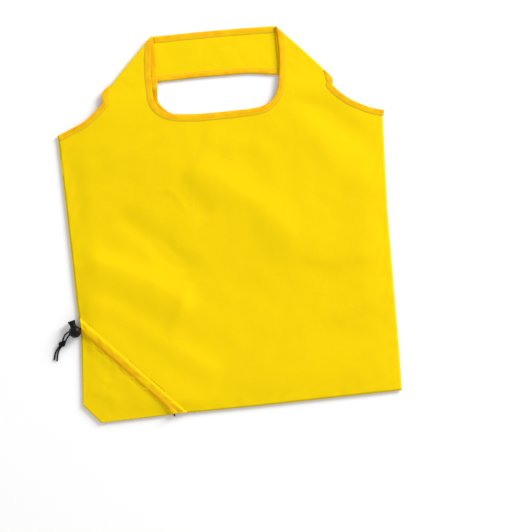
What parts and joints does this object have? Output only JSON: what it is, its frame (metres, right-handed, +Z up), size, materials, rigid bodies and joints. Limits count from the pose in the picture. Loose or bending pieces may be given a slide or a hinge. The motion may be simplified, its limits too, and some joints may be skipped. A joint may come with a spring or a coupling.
{
  "type": "foldable tote bag",
  "caption": "Flat foldable tote bag with wide folded strap handles, taped edges and a drawcord stow pouch in one lower corner with a ball cord lock.",
  "frame": {"origin": "middle of the underside of the flat bag, without the cord and its lock, on the surface the bag lies on", "axes": "+X to the right across the front panel, +Y towards the handles, +Z up out of the front panel"},
  "size_m": [0.4491, 0.49, 0.0158],
  "materials": {
    "panel_fabric": "thin plain-woven polyester, slight sheen",
    "binding_tape": "folded woven tape, lockstitched",
    "cord": "round braided cord",
    "lock_plastic": "moulded, fine texture",
    "spring_steel": "drawn wire"
  },
  "bodies": {
    "bag": {"back_cord_channel": "panel_fabric", "back_hand_hole_binding": "binding_tape", "back_left_armhole_binding": "binding_tape", "back_panel": "panel_fabric", "back_right_armhole_binding": "binding_tape", "bottom_seam": "panel_fabric", "cord_knot": "cord", "drawcord_back_end": "cord", "drawcord_front_end": "cord", "drawcord_in_channels": "cord", "front_cord_channel": "panel_fabric", "front_hand_hole_binding": "binding_tape", "front_left_armhole_binding": "binding_tape", "front_panel": "panel_fabric", "front_right_armhole_binding": "binding_tape", "left_side_seam": "panel_fabric", "pouch_back_panel": "panel_fabric", "pouch_front_panel": "panel_fabric", "pouch_seam": "panel_fabric", "right_side_seam": "panel_fabric"},
    "front_handle": {"front_band_lower_binding": "binding_tape", "front_band_upper_binding": "binding_tape", "front_handle_band": "panel_fabric", "front_left_arm": "panel_fabric", "front_left_arm_binding": "binding_tape", "front_right_arm": "panel_fabric", "front_right_arm_binding": "binding_tape"},
    "back_handle": {"back_band_lower_binding": "binding_tape", "back_band_upper_binding": "binding_tape", "back_handle_band": "panel_fabric", "back_left_arm": "panel_fabric", "back_left_arm_binding": "binding_tape", "back_right_arm": "panel_fabric", "back_right_arm_binding": "binding_tape"},
    "cord_lock": {"cord_lock_ball": "lock_plastic", "cord_lock_spring": "spring_steel"},
    "plunger": {"cord_lock_plunger": "lock_plastic"}
  },
  "joints": [
    {"name": "front_handle_fold", "type": "hinge", "parent": "bag", "child": "front_handle", "pos_m": [0, 0.1655, 0.0069], "axis": [1, 0, 0], "range_deg": [0, 165]},
    {"name": "back_handle_fold", "type": "hinge", "parent": "bag", "child": "back_handle", "pos_m": [0, 0.1655, 0.0069], "axis": [1, 0, 0], "range_deg": [0, 165]},
    {"name": "cord_lock_slide", "type": "slide", "parent": "bag", "child": "cord_lock", "axis": [-0.8202, -0.5721, 0], "range_m": [0, 0.0095]},
    {"name": "plunger_press", "type": "slide", "parent": "cord_lock", "child": "plunger", "axis": [0.2421, -0.9703, 0], "range_m": [0, 0.0025], "stiffness_N_per_m": 600, "springref_m": -0.002, "deforming": ["cord_lock_spring"]}
  ],
  "couplings": [
    {"joint": "back_handle_fold", "follows": "front_handle_fold", "ratio": 1}
  ]
}
